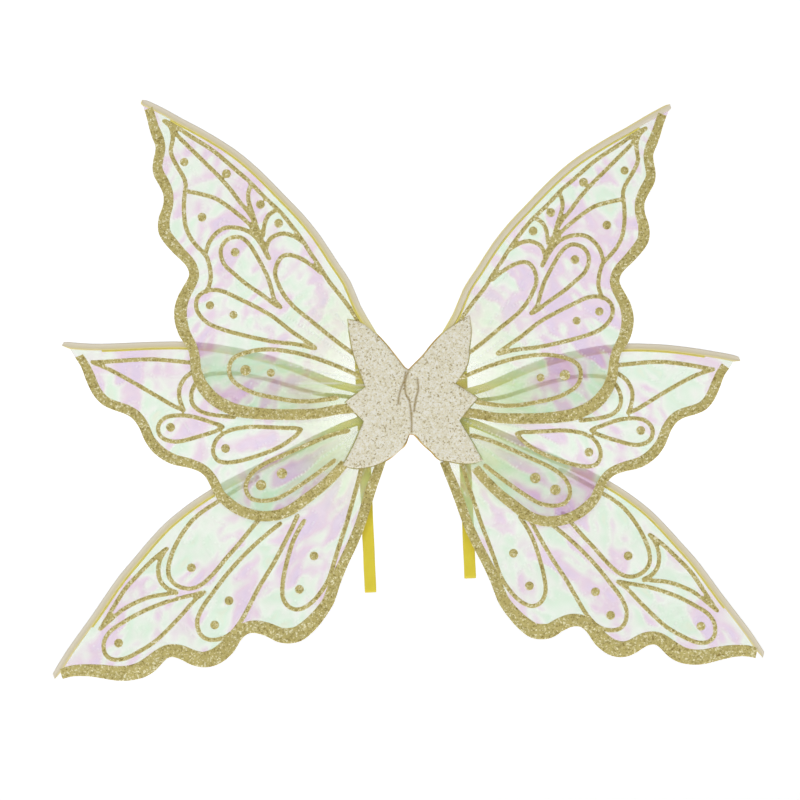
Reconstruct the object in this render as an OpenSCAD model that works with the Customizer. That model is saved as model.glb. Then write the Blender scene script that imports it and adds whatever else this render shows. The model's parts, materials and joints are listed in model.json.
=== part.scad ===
// Fairy wings: six wired film wings on a folding back panel, with two elastic arm straps.
// X runs to the right as the wings are seen from behind the wearer, Y runs towards the wearer
// and Z runs up. The origin is on the rear face of the back panel, at its centre.

/* [Wings] */
// Thickness of the iridescent film
film_t = 0.4; // [0.3:0.1:0.6]
// Width of the wired hem along each leading edge
hem_w = 8; // [6:0.5:10]
// Thickness of the wired hem
hem_t = 3.2; // [3:0.1:3.6]
// Thickness of the hem's cloth
hem_wall = 0.4; // [0.3:0.05:0.5]
// Diameter of the hem wire
wire_d = 2.2; // [1.6:0.1:2.2]
// Width of the yellow seam beside the hem
seam_w = 1.8; // [1.2:0.1:2.4]
// How far glitter and seams stand proud of the film
glitter_t = 0.3; // [0.2:0.05:0.3]
// Width of the glitter tracery lines
line_w = 5; // [3.6:0.1:5.4]
// How much wider the borders and dots are printed than they are drawn
glitter_spread = 0.8; // [0:0.1:1]
// Distance from one wing's plane to the next
layer_pitch = 3.8; // [3.8:0.1:4.2]
// Width of the left upper, middle and lower wings against the right ones
left_width = [1.037, 1.05, 1.074]; // [0.95:0.001:1.1]
// Height of the left upper, middle and lower wings against the right ones
left_height = [1.02, 0.985, 0.99]; // [0.95:0.001:1.05]
// How far the left upper, middle and lower wings are turned up, in degrees
left_turn = [0, -0.6, -4.3]; // [-5:0.1:3]
// How far the left upper, middle and lower wings are moved outwards
left_out = [2.2, -5.7, -6.7]; // [-7:0.1:3]
// How far the left upper, middle and lower wings are moved up
left_up = [5.2, 5.9, 4.5]; // [-2:0.1:12]
// How far the tips of the left upper, middle and lower wings are bent inwards
left_tip_in = [7, -4, 0]; // [-8:0.5:8]
// How far the tips of the left upper, middle and lower wings are bent up
left_tip_up = [-7, 17, 0]; // [-8:0.5:18]

/* [Back panel] */
// Thickness of the padded back cover
cover_t = 1.2; // [0.8:0.1:1.2]
// Thickness of the glitter patch on the front
patch_t = 1; // [0.6:0.1:1.4]
// How far the back cover shows round the patch
cover_rim = 1.6; // [0:0.2:2.4]
// Distance from the middle to each fold line
fold_x = 7; // [6:0.5:8]
// Diameter of the binding that holds each wire's eye
binding_d = 3.6; // [3:0.1:3.6]
// Outer diameter of each wire's eye
eye_d = 8.6; // [7:0.2:9]

/* [Straps] */
// Width of the strap elastic
strap_w = 14; // [12:0.5:16]
// Thickness of the strap elastic
strap_t = 1.2; // [1:0.1:1.4]
// Length of the left strap loop, from its top bar to its fold
left_strap_len = 317; // [280:1:340]
// Length of the right strap loop, from its top bar to its fold
right_strap_len = 302; // [280:1:340]
// Distance between the two runs of a strap loop, centre to centre
strap_gap = 6.8; // [6.4:0.1:8]
// How far each strap leans to the right on its way down, in degrees
strap_lean = 2.5; // [0:0.1:4]

/* [Smoothness] */
// Points along an outline for each point that is set
outline_steps = 2; // [1:1:3]
// Points along a tracery line for each point that is set
tracery_steps = 2; // [1:1:3]

/* [Hidden] */
WINGS = ["upper", "mid", "lower"];
SIDES = ["left", "right"];
PIECES = ["film", "border", "tracery", "hem", "seam", "wire", "wire_eye"];
HUB = ["spine_core", "patch_left", "patch_centre", "patch_right", "back_cover_left", "back_cover_centre",
       "back_cover_right", "binding_left", "binding_right", "strap_tabs_left", "strap_tabs_right",
       "arm_strap_left", "arm_strap_right"];

$fn = 48;
PEARL = [0.86, 0.83, 0.71];
FILM = [0.86, 0.88, 0.93, 0.55];
GOLD = [0.77, 0.71, 0.42];
SILVER = [0.79, 0.77, 0.66];
YELLOW = [0.88, 0.80, 0.28];
STEEL = [0.62, 0.62, 0.62];
CREAM = [0.93, 0.87, 0.60];

// The wings lie one behind another: the lower pair is nearest the wearer.
clear = 0.3;
patch_clear = 0.4;
LAYERS = [cover_t + clear + 2 * layer_pitch, cover_t + clear + layer_pitch, cover_t + clear];
patch_y = LAYERS[0] + hem_t + glitter_t + patch_clear;

// Facets of the small rounded corners, and of the dots.
corner_fn = 16;
dot_fn = 20;
// Clearance of a turning eye or strap round what it turns on, and of tracery beside a border.
turn_gap = 0.05;
tracery_gap = 0.02;

// Each wing is drawn for the right side as x, z points: its leading edge from root to tip, its
// tip, its trailing edge back to the root with the border's width there, and its hidden root.
UPPER_LEAD = [[33, 72], [40, 84], [53, 107], [65, 136], [80, 159], [100, 190], [120, 215], [140, 236],
    [160, 257], [180, 276], [200, 292], [220, 305], [240, 317], [260, 328], [280, 340],
    [298, 350], [306, 354]];
UPPER_TIP = [[311, 355], [313, 350]];
UPPER_TRAIL = [[307, 341, 9], [303, 330, 9], [299, 316, 10], [295, 305, 11], [291, 294, 10],
    [293, 280, 10], [294, 270, 10], [292, 260, 11], [286, 249, 11], [281, 238, 10],
    [281, 226, 10], [285, 214, 11], [287, 202, 12], [285, 190, 12], [277, 178, 12],
    [266, 166, 11], [255, 155, 10], [251, 144, 10], [256, 133, 11], [264, 118, 12],
    [268, 102, 13], [267, 87, 13], [262, 72, 12], [253, 58, 10], [250, 45, 10], [249, 31, 11],
    [244, 15, 12], [236, 2, 13], [226, -8, 13], [213, -16, 13], [198, -22, 13], [175, -25, 12],
    [150, -26, 11], [121, -26, 11], [100, -24, 10], [81, -20, 10], [62, -18, 10], [52, -16, 10]];
UPPER_ROOT = [[40, 2], [29, 22], [19, 38], [19, 53], [26, 66]];
UPPER_PIVOT = [27, 45];
UPPER_LINES = [
    [[282, 326], [274, 318], [271, 304], [273, 290], [270, 280], [264, 269], [258, 259],
     [255, 249], [256, 238], [257, 222], [255, 201], [248, 185], [238, 173], [231, 165],
     [227, 152], [226, 140], [228, 131], [231, 124]],
    [[282, 326], [270, 320], [254, 309], [237, 298], [221, 287], [198, 267], [180, 251],
     [164, 234], [147, 218], [133, 201], [120, 183], [110, 167], [100, 152], [90, 136],
     [75, 117], [63, 100], [53, 84]],
    [[274, 318], [262, 304], [246, 288], [231, 273], [217, 259], [203, 243], [192, 228],
     [182, 216], [173, 199], [159, 163]],
    [[256, 242], [241, 239], [223, 234], [211, 227], [194, 214], [180, 201], [168, 182]],
    [[180, 249], [183, 238], [182, 228], [178, 216], [173, 199]],
    [[151, 219], [159, 214], [164, 204], [166, 190]],
    [[120, 182], [129, 188], [141, 192], [151, 190], [159, 184], [163, 172]],
    [[159, 163], [172, 185], [184, 195], [198, 199], [211, 198], [222, 190], [229, 179],
     [232, 167]],
    [[52, 24], [63, 29], [81, 37], [102, 45], [126, 52], [151, 56], [170, 56], [188, 52], [201, 45],
     [205, 34], [202, 22], [192, 13], [175, 5], [153, 0], [129, -4], [108, -4], [81, 0]],
    [[99, 146], [110, 155], [123, 163], [135, 167], [144, 165], [150, 156], [152, 144],
     [148, 132], [141, 119], [129, 105], [112, 91], [94, 76], [75, 61], [60, 50], [50, 42]]];
UPPER_LOOPS = [
    [[146, 106], [153, 115], [156, 126], [161, 142], [170, 160], [180, 177], [189, 186],
     [198, 188], [208, 184], [214, 175], [214, 165], [209, 154], [198, 144], [184, 132],
     [168, 121], [155, 111]],
    [[106, 58], [118, 67], [135, 79], [155, 95], [176, 107], [194, 116], [211, 124],
     [223, 126], [233, 124], [241, 117], [243, 107], [239, 97], [229, 87], [213, 80],
     [196, 75], [176, 70], [151, 65], [131, 63], [116, 60]]];
UPPER_DOTS = [[198, 170, 4.5], [227, 108, 4.2], [200, 97, 4], [236, 211, 4.5], [208, 262, 4.5],
    [257, 276, 4.2], [169, 226, 4.5], [148, 204, 4.5], [157, 29, 4], [186, 32, 5.5]];

MID_LEAD = [[40, 8], [60, 14], [89, 22], [108, 30], [135, 42], [162, 52], [188, 59], [210, 64],
    [234, 68], [260, 70], [280, 70], [302, 69], [323, 67], [345, 64], [363, 61], [380, 58],
    [389, 56]];
MID_TIP = [[394, 54], [396, 49]];
MID_TRAIL = [[382, 40, 9], [376, 31, 9], [372, 20, 10], [368, 10, 10], [362, -1, 10],
    [353, -10, 10], [341, -15, 10], [328, -19, 10], [319, -25, 10], [312, -36, 10],
    [307, -49, 10], [299, -62, 11], [288, -72, 11], [275, -79, 11], [258, -83, 10],
    [245, -88, 9], [237, -96, 9], [232, -107, 10], [227, -118, 10], [218, -129, 11],
    [205, -139, 11], [189, -146, 11], [172, -149, 11], [153, -147, 11], [137, -140, 11],
    [121, -128, 11], [102, -112, 10], [86, -96, 10], [75, -82, 9]];
MID_ROOT = [[58, -56], [42, -34], [28, -18], [21, -6], [28, 5]];
MID_PIVOT = [29, -5];
MID_LINES = [
    [[250, 34], [260, 26], [266, 15], [267, 5], [265, -5], [262, -13]],
    [[263, -13], [275, -7], [296, 6], [323, 22], [345, 33], [363, 39]],
    [[362, 39], [347, 42], [323, 46], [296, 48], [269, 46], [250, 44]],
    [[70, 0], [81, 2], [108, 5], [135, 13], [162, 22], [183, 27], [205, 31], [232, 30],
     [246, 22], [253, 7], [251, -7], [240, -16], [223, -20], [205, -22]],
    [[75, -40], [97, -46], [121, -56], [145, -67], [167, -77], [183, -88], [191, -100],
     [192, -111], [186, -121], [172, -124], [156, -121], [140, -112], [121, -99], [105, -87],
     [91, -76]]];
MID_LOOPS = [
    [[129, -38], [144, -36], [162, -35], [183, -34], [202, -36], [218, -42], [227, -53],
     [229, -65], [223, -75], [210, -77], [194, -74], [175, -68], [156, -60], [142, -51]],
    [[218, -34], [229, -29], [242, -24], [258, -20], [275, -20], [285, -24], [291, -33],
     [289, -44], [280, -50], [267, -51], [248, -46], [232, -41]]];
MID_DOTS = [[277, -34, 4.5], [215, -60, 4.5], [151, -91, 5.5], [175, -105, 5.5]];

LOWER_LEAD = [[55, -15], [81, -22], [108, -33], [129, -42], [151, -53], [181, -66], [210, -79],
    [232, -90], [254, -103], [270, -114], [289, -129], [307, -147], [325, -167], [343, -187],
    [359, -208], [375, -230], [392, -252], [408, -273], [420, -291]];
LOWER_TIP = [[425, -299], [423, -306]];
LOWER_TRAIL = [[414, -306, 11], [402, -304, 12], [387, -305, 13], [370, -309, 15],
    [354, -313, 16], [338, -314, 17], [322, -311, 18], [310, -304, 18], [302, -296, 16],
    [294, -290, 14], [284, -292, 15], [273, -299, 16], [262, -304, 17], [249, -305, 18],
    [235, -300, 18], [222, -289, 17], [214, -277, 15], [205, -269, 13], [195, -269, 14],
    [184, -274, 15], [173, -281, 16], [160, -284, 17], [146, -282, 17], [133, -273, 16],
    [120, -259, 14], [107, -240, 12], [98, -217, 11], [88, -195, 10], [76, -172, 10],
    [66, -150, 10], [58, -128, 10], [50, -106, 10], [42, -86, 9], [37, -73, 9]];
LOWER_ROOT = [[34, -60], [27, -48], [26, -36], [28, -22], [38, -14]];
LOWER_PIVOT = [34, -30];
LOWER_LINES = [
    [[60, -66], [64, -76], [70, -96], [78, -120], [86, -144], [95, -168], [102, -187],
     [110, -209], [121, -226], [133, -238], [146, -244], [157, -240], [163, -228], [162, -211],
     [157, -190], [149, -166], [141, -150], [133, -138]],
    [[140, -131], [146, -143], [157, -163], [171, -187], [187, -211], [198, -230], [211, -252],
     [223, -266], [235, -272], [249, -272], [258, -264], [260, -249], [253, -233], [241, -217],
     [225, -197], [208, -179], [192, -164], [175, -150], [160, -139]],
    [[184, -133], [194, -144], [206, -158], [222, -175], [238, -193], [252, -205], [265, -209],
     [278, -205], [287, -194], [287, -179], [280, -160], [270, -143], [257, -127], [243, -116],
     [231, -109], [218, -101], [200, -91], [181, -81]],
    [[288, -159], [303, -170], [319, -185], [335, -201], [346, -216], [357, -233], [367, -248]],
    [[368, -249], [357, -240], [343, -229], [327, -221], [308, -215], [281, -213]],
    [[281, -212], [290, -207], [297, -198], [299, -185], [296, -171], [289, -160]]];
LOWER_LOOPS = [
    [[250, -215], [262, -217], [281, -220], [303, -226], [324, -234], [343, -244], [357, -253],
     [365, -265], [365, -279], [357, -287], [343, -287], [327, -280], [308, -269], [289, -252],
     [273, -236], [260, -222]]];
LOWER_DOTS = [[125, -181, 4.5], [144, -220, 4.5], [223, -227, 4.5], [241, -255, 4.5],
    [349, -268, 4.5], [262, -184, 4.5]];

LEAD = [UPPER_LEAD, MID_LEAD, LOWER_LEAD];
TIP = [UPPER_TIP, MID_TIP, LOWER_TIP];
TRAIL = [UPPER_TRAIL, MID_TRAIL, LOWER_TRAIL];
ROOT = [UPPER_ROOT, MID_ROOT, LOWER_ROOT];
PIVOT = [UPPER_PIVOT, MID_PIVOT, LOWER_PIVOT];
LINES = [UPPER_LINES, MID_LINES, LOWER_LINES];
LOOPS = [UPPER_LOOPS, MID_LOOPS, LOWER_LOOPS];
DOTS = [UPPER_DOTS, MID_DOTS, LOWER_DOTS];

// The glitter patch has three lobes on each side. It is drawn clockwise from the top middle.
PATCH = [[0, 38], [16, 54], [29, 70], [43, 84], [59, 95], [72, 103], [74, 86], [72, 66],
    [70, 47], [64, 34], [55, 22], [68, 14], [82, 5], [71, -8], [60, -22], [72, -42], [88, -70],
    [77, -73], [62, -73], [49, -71], [36, -68], [27, -59], [16, -49], [7, -39], [0, -38],
    [-7, -53], [-25, -68], [-37, -74], [-51, -78], [-66, -79], [-79, -76], [-67, -53],
    [-54, -23], [-65, -12], [-76, 0], [-64, 9], [-52, 18], [-58, 35], [-66, 57], [-71, 83],
    [-73, 99], [-58, 95], [-44, 85], [-29, 70], [-16, 54], [-6, 41]];

// Points between b and c on a smooth curve through a, b, c and d.
function between(a, b, c, d, t) = 0.5 * (2 * b + (c - a) * t + (2 * a - 5 * b + 4 * c - d) * t * t
    + (3 * b - a - 3 * c + d) * t * t * t);
function smooth(p, steps) = concat(
    [for (i = [0:len(p) - 2], k = [0:steps - 1])
        between(p[max(i - 1, 0)], p[i], p[i + 1], p[min(i + 2, len(p) - 1)], k / steps)],
    [p[len(p) - 1]]);
function smooth_loop(p, steps) = let (n = len(p))
    [for (i = [0:n - 1], k = [0:steps - 1])
        between(p[(i + n - 1) % n], p[i], p[(i + 1) % n], p[(i + 2) % n], k / steps)];
function backwards(p) = [for (i = [len(p) - 1:-1:0]) p[i]];

// How soon the bend of a left wing's tip fades towards its root.
tip_sharpness = 10;

// The way to the left of a line at its point i, and a line a distance w to the left of it.
function to_left(a, b) = [a[1] - b[1], b[0] - a[0]] / norm([b[0] - a[0], b[1] - a[1]]);
function beside(p, w) = [for (i = [0:len(p) - 1])
    [p[i][0], p[i][1]] + w * to_left(p[max(i - 1, 0)], p[min(i + 1, len(p) - 1)])];
function beside_loop(p, w) = let (n = len(p))
    [for (i = [0:n - 1]) p[i] + w * to_left(p[(i + n - 1) % n], p[(i + 1) % n])];

// A line drawn w wide with rounded ends.
function half_turn(c, from, r) = [for (a = [30:30:150]) c + r * [cos(from - a), sin(from - a)]];
function heading(a, b) = atan2(b[1] - a[1], b[0] - a[0]);
function stroke(p, w) = let (n = len(p) - 1) concat(
    beside(p, w / 2), half_turn(p[n], heading(p[n - 1], p[n]) + 90, w / 2),
    backwards(beside(p, -w / 2)), half_turn(p[0], heading(p[0], p[1]) - 90, w / 2));

// A right-hand outline moved to its side: the left wings are mirrored, and differ in size, place and tip.
function placed(p, side, wing) = side == 1 ? p : let (
    c = cos(left_turn[wing]), d = sin(left_turn[wing]), w = left_width[wing], h = left_height[wing],
    tip = TIP[wing][0])
    [for (q = p) let (bend = pow(max(q * tip, 0) / (tip * tip), tip_sharpness))
        [d * h * q[1] - c * w * q[0] - left_out[wing] + bend * left_tip_in[wing],
         d * w * q[0] + c * h * q[1] + left_up[wing] + bend * left_tip_up[wing]]];

function lead(wing) = smooth(LEAD[wing], outline_steps);
function trail(wing) = smooth(TRAIL[wing], outline_steps);
function trail_line(wing) = [for (q = trail(wing)) [q[0], q[1]]];
function trail_inner(wing) = let (p = trail(wing), n = len(p) - 1)
    [for (i = [0:n]) [p[i][0], p[i][1]]
        - (p[i][2] + 2 * glitter_spread) * to_left(p[max(i - 1, 0)], p[min(i + 1, n)])];

// A flat piece in the plane of the wings: its rear face is back_y from the panel's rear face.
module slab(back_y, t) {
    translate([0, -back_y, 0]) rotate([90, 0, 0]) linear_extrude(t) children();
}

module film(side, wing) {
    color(FILM) slab(LAYERS[wing] + hem_t - film_t, film_t)
        polygon(placed(concat(beside(lead(wing), -hem_w), trail_line(wing), ROOT[wing]), side, wing));
}

module border_outline(side, wing) {
    polygon(placed(concat(trail_line(wing), backwards(trail_inner(wing))), side, wing));
}

module border(side, wing) {
    color(GOLD) slab(LAYERS[wing] + hem_t, glitter_t) border_outline(side, wing);
}

// The hem is a flat tube for the wire, open at the root and closed short of the tip.
module hem(side, wing) {
    edge = lead(wing);
    side_wall = 1;
    overshoot = 4;
    points_short = 4;
    mouth = edge[0] + overshoot * (edge[0] - edge[1]) / norm(edge[0] - edge[1]);
    run = concat([mouth], [for (i = [1:len(edge) - points_short]) edge[i]]);
    color(PEARL) difference() {
        slab(LAYERS[wing], hem_t) hem_outline(side, wing, 0);
        slab(LAYERS[wing] + hem_wall, hem_t - 2 * hem_wall)
            polygon(placed(concat(beside(run, -side_wall), backwards(beside(run, side_wall - hem_w))),
                side, wing));
    }
}

module seam(side, wing) {
    edge = lead(wing);
    points_short = 6;
    run = [for (i = [0:len(edge) - points_short]) edge[i]];
    color(YELLOW) slab(LAYERS[wing] + hem_t, glitter_t)
        polygon(placed(concat(beside(run, -hem_w), backwards(beside(run, -hem_w - seam_w))), side, wing));
}

// Lines, rings and dots run into one another with small fillets, and stop at the border and seam.
module tracery(side, wing) {
    fillet = 1;
    color(GOLD) slab(LAYERS[wing] + hem_t, glitter_t) offset(delta = -tracery_gap) difference() {
        offset(r = -fillet, $fn = corner_fn) offset(delta = fillet) tracery_marks(side, wing);
        border_outline(side, wing);
        hem_outline(side, wing, seam_w + tracery_gap);
    }
}

// The hem's outline, with its inner edge moved in by extra.
module hem_outline(side, wing, extra) {
    polygon(placed(concat(lead(wing), TIP[wing], backwards(beside(lead(wing), -hem_w - extra))),
        side, wing));
}

module tracery_marks(side, wing) {
    for (p = LINES[wing]) polygon(placed(stroke(smooth(p, tracery_steps), line_w), side, wing));
    for (p = LOOPS[wing]) difference() {
        offset(r = line_w / 2, $fn = corner_fn) polygon(placed(smooth_loop(p, tracery_steps), side, wing));
        offset(delta = -line_w / 2) polygon(placed(smooth_loop(p, tracery_steps), side, wing));
    }
    for (q = DOTS[wing]) translate(placed([[q[0], q[1]]], side, wing)[0])
        circle(q[2] + glitter_spread, $fn = dot_fn);
}

// The wire runs along the middle of the hem, from the rim of its eye to short of the tip.
wire_bite = 0.3;
wire_points_short = 3;
function wire_line(side, wing) = let (
    p = beside(LEAD[wing], -hem_w / 2), c = PIVOT[wing],
    first = c + (eye_d / 2 - wire_bite) * (p[0] - c) / norm(p[0] - c))
    placed(concat([first, (first + p[0]) / 2], [for (i = [0:len(p) - wire_points_short]) p[i]]), side,
        wing);

module tube(p, y, d) {
    sides = 8;
    n = len(p);
    ring = [for (i = [0:n - 1], k = [0:sides - 1]) let (
        l = to_left(p[max(i - 1, 0)], p[min(i + 1, n - 1)]), a = 360 * k / sides, r = d / 2)
        [p[i][0] + r * cos(a) * l[0], -y + r * sin(a), p[i][1] + r * cos(a) * l[1]]];
    polyhedron(ring, concat(
        [[for (k = [0:sides - 1]) k]],
        [for (i = [0:n - 2], k = [0:sides - 1]) let (a = i * sides + k, b = i * sides + (k + 1) % sides)
            each [[a, a + sides, b], [b, a + sides, b + sides]]],
        [[for (k = [sides - 1:-1:0]) (n - 1) * sides + k]]), convexity = 6);
}

module wire(side, wing) {
    color(STEEL) tube(wire_line(side, wing), LAYERS[wing] + hem_t / 2, wire_d);
}

// The wire's end is bent into an eye, which turns on the binding.
module wire_eye(side, wing) {
    c = placed([PIVOT[wing]], side, wing)[0];
    t = wire_d;
    color(STEEL) slab(LAYERS[wing] + hem_t - film_t - t, t) translate(c) difference() {
        circle(eye_d / 2);
        circle(binding_d / 2 + turn_gap);
    }
}

// Bounds of the two side panels and of the strip between the fold lines.
module part_of_panel(side, edge_x) {
    reach = 120;
    if (side == 0) translate([-edge_x, -reach]) square([2 * edge_x, 2 * reach]);
    if (side == 1) translate([edge_x, -reach]) square([reach, 2 * reach]);
    if (side == -1) translate([-edge_x - reach, -reach]) square([reach, 2 * reach]);
}

module patch(side) {
    gap = 0.2;
    color(SILVER) slab(patch_y, patch_t) intersection() {
        polygon(PATCH);
        part_of_panel(side, side == 0 ? fold_x - gap : fold_x + gap);
    }
}

// The side covers stop short of the fold lines, so that the panels can fold back a little.
module back_cover(side) {
    strip_gap = 0.3;
    open_gap = 3.3;
    color(YELLOW) slab(0, cover_t) intersection() {
        polygon(beside_loop(PATCH, cover_rim));
        part_of_panel(side, side == 0 ? fold_x - strip_gap : fold_x + open_gap);
    }
}

module spine_core() {
    core_w = 2 * fold_x - 3;
    core_h = 64;
    color(CREAM) slab(cover_t, patch_y - cover_t)
        translate([-core_w / 2, -core_h / 2]) square([core_w, core_h]);
}

// Thread bindings: one through each wire's eye, and two thin ones that hold the patch.
module binding(side) {
    film_gap = 0.1;
    tie_r = 1;
    tie_x = fold_x + 6.3;
    tie_z = 27;
    color(YELLOW) {
        for (wing = [0:2]) {
            top_y = LAYERS[wing] + hem_t - film_t - film_gap;
            slab(cover_t, top_y - cover_t) translate(placed([PIVOT[wing]], side, wing)[0])
                circle(binding_d / 2);
        }
        for (z = [tie_z, -tie_z])
            slab(cover_t, patch_y - cover_t) translate([side * tie_x, z]) circle(tie_r);
    }
}

// Each strap hangs from a thread bar near the top of its side panel. Its other end is sewn to a
// square at the bottom of the panel, this far below the panel's middle.
STRAP_TOP = [[-60, 88], [60.5, 90]];
strap_end_z = 68;
bar_y = 1.9;
bar_r = 0.7;
function strap_top(side) = STRAP_TOP[side == 1 ? 1 : 0];
function strap_len(side) = side == 1 ? right_strap_len : left_strap_len;

// A strap is a closed fold from its top bar: seen from the side as y, z points, it leaves the bar
// and slants away from the panel, runs down to the fold, turns there and comes back up.
SLANT = [[0.8, -14], [strap_gap - 1, -46], [strap_gap, -66], [strap_gap, -130]];
function strap_side_view(side) = let (
    far = bar_y + strap_gap, r = strap_gap / 2, fold_z = r - strap_len(side),
    end_z = -strap_top(side)[1] - strap_end_z, slack = 40)
    concat(
        [[bar_y, -1]], [for (p = SLANT) [bar_y + p[0], p[1]]], [[far, fold_z]],
        [for (a = [-30:-30:-150]) [bar_y + r + r * cos(a), fold_z + r * sin(a)]],
        [[bar_y, fold_z], [bar_y, end_z - slack], [bar_y, end_z]]);

module arm_strap(side) {
    top = strap_top(side);
    line = strap_side_view(side);
    eyelet_r = 1.6;
    color(YELLOW) translate([top[0], 0, top[1]]) rotate([0, -strap_lean, 0])
        translate([-strap_w / 2, 0, 0]) rotate([90, 0, 90]) linear_extrude(strap_w) difference() {
            union() {
                polygon(concat(beside(line, -strap_t / 2), backwards(beside(line, strap_t / 2))));
                translate([bar_y, 0]) circle(eyelet_r);
            }
            translate([bar_y, 0]) circle(bar_r + turn_gap);
        }
}

// The thread bar with its two posts, and the sewn square that marks the strap's lower end.
module strap_tabs(side) {
    top = strap_top(side);
    post = [2, bar_y + 1, 4];
    post_gap = 0.3;
    square_h = 8;
    square_t = 0.8;
    color(YELLOW) translate([top[0], 0, top[1]]) rotate([0, -strap_lean, 0]) {
        translate([-strap_w / 2 - post[0], bar_y, 0]) rotate([0, 90, 0])
            cylinder(r = bar_r, h = strap_w + 2 * post[0]);
        for (x = [-strap_w / 2 - post[0], strap_w / 2 + post_gap])
            translate([x, 0, -post[2] / 2]) cube([post[0] - post_gap, post[1], post[2]]);
        translate([-strap_w / 2, 0, -top[1] - strap_end_z - square_h / 2])
            cube([strap_w, square_t, square_h]);
    }
}

module wing_piece(side, wing, piece) {
    if (piece == "film") film(side, wing);
    if (piece == "border") border(side, wing);
    if (piece == "tracery") tracery(side, wing);
    if (piece == "hem") hem(side, wing);
    if (piece == "seam") seam(side, wing);
    if (piece == "wire") wire(side, wing);
    if (piece == "wire_eye") wire_eye(side, wing);
}

for (s = [0:1], w = [0:2], p = PIECES)
    wing_piece(2 * s - 1, w, p);
spine_core();
patch(-1);  // patch_left
patch(0);  // patch_centre
patch(1);  // patch_right
back_cover(-1);  // back_cover_left
back_cover(0);  // back_cover_centre
back_cover(1);  // back_cover_right
binding(-1);  // binding_left
binding(1);  // binding_right
strap_tabs(-1);  // strap_tabs_left
strap_tabs(1);  // strap_tabs_right
arm_strap(-1);  // arm_strap_left
arm_strap(1);  // arm_strap_right
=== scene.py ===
"""Fairy wings: six crinkled film wings in wired hems, on a folding glitter patch with arm straps."""
import json
import math

import bpy
import numpy as np
from bpy.props import FloatProperty, FloatVectorProperty, IntProperty, PointerProperty
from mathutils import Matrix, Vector, noise
from mathutils.geometry import delaunay_2d_cdt
from mathutils.kdtree import KDTree


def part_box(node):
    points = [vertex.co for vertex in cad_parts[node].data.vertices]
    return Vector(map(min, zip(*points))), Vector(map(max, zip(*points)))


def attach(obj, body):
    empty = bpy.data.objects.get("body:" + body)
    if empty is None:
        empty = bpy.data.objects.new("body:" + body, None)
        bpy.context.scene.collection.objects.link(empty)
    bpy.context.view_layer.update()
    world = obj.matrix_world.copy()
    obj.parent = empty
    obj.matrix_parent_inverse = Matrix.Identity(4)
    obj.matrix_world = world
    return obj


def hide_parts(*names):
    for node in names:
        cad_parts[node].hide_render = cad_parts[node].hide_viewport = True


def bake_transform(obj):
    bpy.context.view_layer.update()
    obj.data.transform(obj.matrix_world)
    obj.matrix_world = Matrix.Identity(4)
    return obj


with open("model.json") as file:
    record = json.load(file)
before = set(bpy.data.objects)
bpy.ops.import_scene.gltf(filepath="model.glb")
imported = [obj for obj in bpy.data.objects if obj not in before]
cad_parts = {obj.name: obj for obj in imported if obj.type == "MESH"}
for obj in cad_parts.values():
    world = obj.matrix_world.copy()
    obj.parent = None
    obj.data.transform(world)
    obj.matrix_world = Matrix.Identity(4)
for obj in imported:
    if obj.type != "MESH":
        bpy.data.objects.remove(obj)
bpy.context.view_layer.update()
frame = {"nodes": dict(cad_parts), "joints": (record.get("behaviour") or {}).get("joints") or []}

bl_info = {
    "name": "Fairy Wings",
    "version": (1, 0, 0),
    "blender": (4, 5, 0),
    "location": "3D View > Sidebar > Fairy Wings",
    "description": "Dresses the fairy wings' frame with film, glitter, hems, a padded patch and straps",
    "category": "Object",
}

MM = 0.001
SIDES = {"left": -1, "right": 1}
WINGS = ("upper", "mid", "lower")
ALL_WINGS = [f"{side}_{wing}" for side in SIDES for wing in WINGS]
HEM_HALF = 1.6 * MM
THREAD_BAR = 0.7 * MM
SEWN_BELOW_MIDDLE = 68 * MM
STITCH_YELLOW = (236, 214, 70)


def tint(red, green, blue):
    """A colour in Blender's linear values from its 0 to 255 screen values."""
    def linear(value):
        part = value / 255
        return part / 12.92 if part <= 0.04045 else ((part + 0.055) / 1.055) ** 2.4
    return (linear(red), linear(green), linear(blue))


def length(name, description, millimetres):
    """A length property that a user reads in scene units, given here in millimetres."""
    return FloatProperty(name=name, description=description, default=millimetres * MM,
                         min=0, unit="LENGTH", subtype="DISTANCE", precision=5)


def colour(name, description, *screen):
    return FloatVectorProperty(name=name, description=description, size=3, min=0, max=1,
                               subtype="COLOR", default=tint(*screen))


# ---------------------------------------------------------------- what a user would change

class FilmSettings(bpy.types.PropertyGroup):
    """The iridescent film of the six wings."""
    grid: length("Grid", "Distance between the points of the film's mesh", 2.3)
    bow: length("Bow", "How far the wing tips bow away from the wearer", 6)
    fan_crease: length("Fan crease", "Height of the creases that fan out from the hub", 1.1)
    fold_crease: length("Fold crease", "Height of the broad creases across a wing", 0.9)
    small_crease: length("Small crease", "Height of the fine crinkles", 0.35)
    cover: FloatProperty(name="Cover", description="Share of what lies behind that the film hides",
                         default=0.58, min=0, max=1, subtype="FACTOR")
    # Lilac, pink, pale and mint are painted iridescence: each facet's slant picks one, in place of the
    # film's changing reflection.
    lilac: colour("Lilac", "Film seen at one slant", 214, 168, 222)
    pink: colour("Pink", "Film seen near flat", 230, 182, 216)
    pale: colour("Pale", "Film between pink and mint", 238, 248, 226)
    mint: colour("Mint", "Film seen at the other slant", 206, 246, 202)
    # Shimmer is partly the yellow parts seen through the film and partly a painted highlight near the hub.
    shimmer: colour("Shimmer", "Film near the hub, over the yellow parts", 216, 238, 150)


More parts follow.
